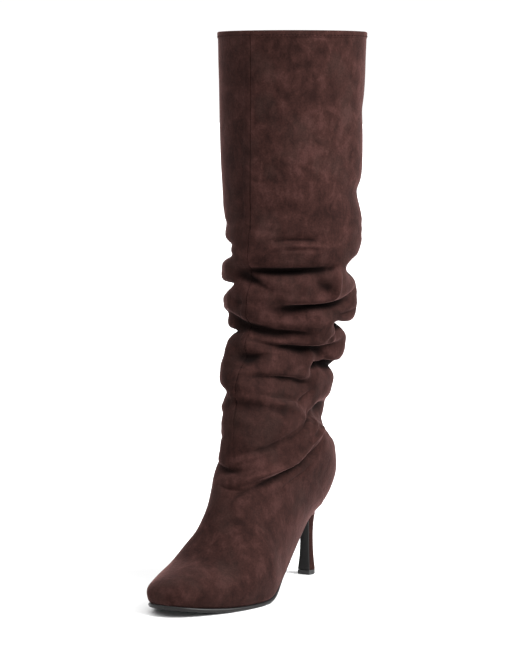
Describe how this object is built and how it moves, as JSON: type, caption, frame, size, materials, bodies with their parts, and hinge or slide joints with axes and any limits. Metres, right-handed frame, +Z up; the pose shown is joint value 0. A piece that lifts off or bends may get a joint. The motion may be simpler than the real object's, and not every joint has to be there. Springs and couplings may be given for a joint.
{
  "type": "knee-high boot",
  "caption": "Knee-high pull-on boot in slouched suede, with a thin high heel, an almond toe and a thin flat sole.",
  "frame": {"origin": "middle of the heel's ground face, under the top lift", "axes": "+Z up the shaft, the toe points to -Y, +X to the outer (lateral) side of a left foot"},
  "size_m": [0.1258, 0.2514, 0.465],
  "materials": {
    "suede": "dark brown suede, napped",
    "lining": "smooth lining leather",
    "sole": "thin black sole and heel breast with a polished edge",
    "lift": "matt black top lift"
  },
  "bodies": {
    "root": {"upper": "suede", "insole": "lining", "outsole": "sole", "heel": "suede", "breast_cover": "sole", "top_lift": "lift"}
  },
  "joints": []
}
